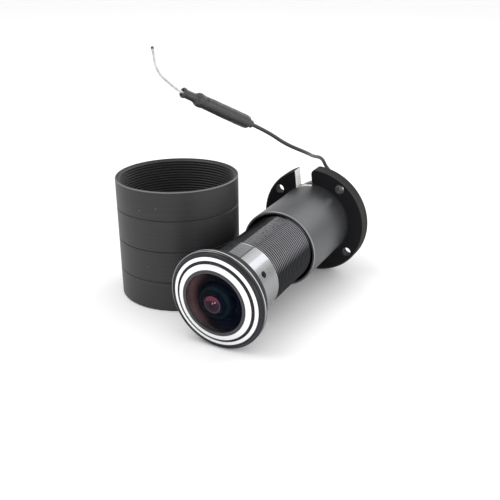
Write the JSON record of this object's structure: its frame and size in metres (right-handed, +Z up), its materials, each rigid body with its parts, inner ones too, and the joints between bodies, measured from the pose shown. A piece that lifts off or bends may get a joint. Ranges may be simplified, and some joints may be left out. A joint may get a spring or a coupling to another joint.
{
  "type": "door viewer with camera",
  "caption": "Camera door viewer: domed bezel with a large lens, threaded barrel, sliding clamp tube with a notched flange, lock nut, short antenna lead and a loose threaded rear cover.",
  "frame": {"origin": "on the floor under the middle of the box of the rigid pieces, as the viewer lies on its bezel rim and flange rim with its rear cover standing beside it", "axes": "+Z up; the viewer's axis lies in a Y-Z plane, from the bezel at -Y to the room side at +Y, rising 3.2 degrees; +X to the right seen from the bezel"},
  "size_m": [0.0782, 0.0998, 0.0874],
  "materials": {
    "bezel_black": "gloss black anodised",
    "polished_trim": "fine-turned bright metal",
    "retainer_grey": "satin dark grey",
    "clear_glass": "polished, coated",
    "coated_glass": "violet anti-reflection coating",
    "filter_glass": "polished",
    "lens_black": "matt black",
    "black_rubber": "matt",
    "black_plastic": "moulded",
    "sensor_die": "gloss",
    "circuit_board": "solder mask",
    "steel": "plated",
    "ribbon_film": "amber film",
    "chip_black": "moulded",
    "shield_metal": "tinned shield",
    "button_white": "moulded",
    "gold_contact": "gold plated",
    "lead_jacket": "smooth jacket",
    "barrel_black": "gloss black anodised",
    "dark_steel": "black oxide",
    "tube_black": "satin black anodised",
    "nut_black": "satin black anodised",
    "cover_black": "matt black anodised",
    "heat_shrink": "heat-shrunk sleeve",
    "white_wire": "white insulation"
  },
  "bodies": {
    "camera_unit": {"bezel": "bezel_black", "outer_trim_ring": "polished_trim", "inner_trim_ring": "polished_trim", "lens_retaining_ring": "retainer_grey", "front_lens": "clear_glass", "lens_seal": "black_rubber", "lens_cell": "lens_black", "second_lens": "coated_glass", "aperture_stop": "lens_black", "rear_lens": "clear_glass", "lens_holder": "black_plastic", "infrared_filter": "filter_glass", "image_sensor": "sensor_die", "sensor_board": "circuit_board", "sensor_screws": "steel", "sensor_ribbon": "ribbon_film", "main_board": "circuit_board", "board_chips": "chip_black", "wifi_module": "shield_metal", "usb_socket": "steel", "card_socket": "steel", "reset_switch": "black_plastic", "antenna_plug": "gold_contact", "inner_lead": "lead_jacket", "lead_grommet": "black_rubber", "rear_plate": "black_plastic", "door_gasket": "black_rubber", "barrel": "barrel_black", "set_screw": "dark_steel", "antenna_lead": "lead_jacket", "antenna_sleeve": "heat_shrink", "antenna_wire": "white_wire"},
    "clamp_tube": {"clamp_tube": "tube_black"},
    "lock_nut": {"lock_nut": "nut_black"},
    "reset_button": {"reset_button": "button_white"},
    "rear_cover": {"rear_cover": "cover_black"}
  },
  "joints": [
    {"name": "tube_slide", "type": "slide", "parent": "camera_unit", "child": "clamp_tube", "axis": [0, -0.9985, -0.0555], "range_m": [-0.003, 0.018]},
    {"name": "nut_turn", "type": "hinge", "parent": "clamp_tube", "child": "lock_nut", "pos_m": [0.01875, 0.03734, 0.02072], "axis": [0, -0.9985, -0.0555], "range_deg": [-1081, 6481]},
    {"name": "reset_press", "type": "slide", "parent": "camera_unit", "child": "reset_button", "axis": [0, -0.9985, -0.0555], "range_m": [0, 0.0003], "stiffness_N_per_m": 500, "springref_m": -0.001},
    {"name": "cover_slide", "type": "slide", "parent": "camera_unit", "child": "rear_cover", "axis": [-1, 0, 0], "range_m": [0, 0.06]}
  ],
  "couplings": [
    {"joint": "nut_turn", "follows": "tube_slide", "rad_per_m": 6283.2}
  ]
}
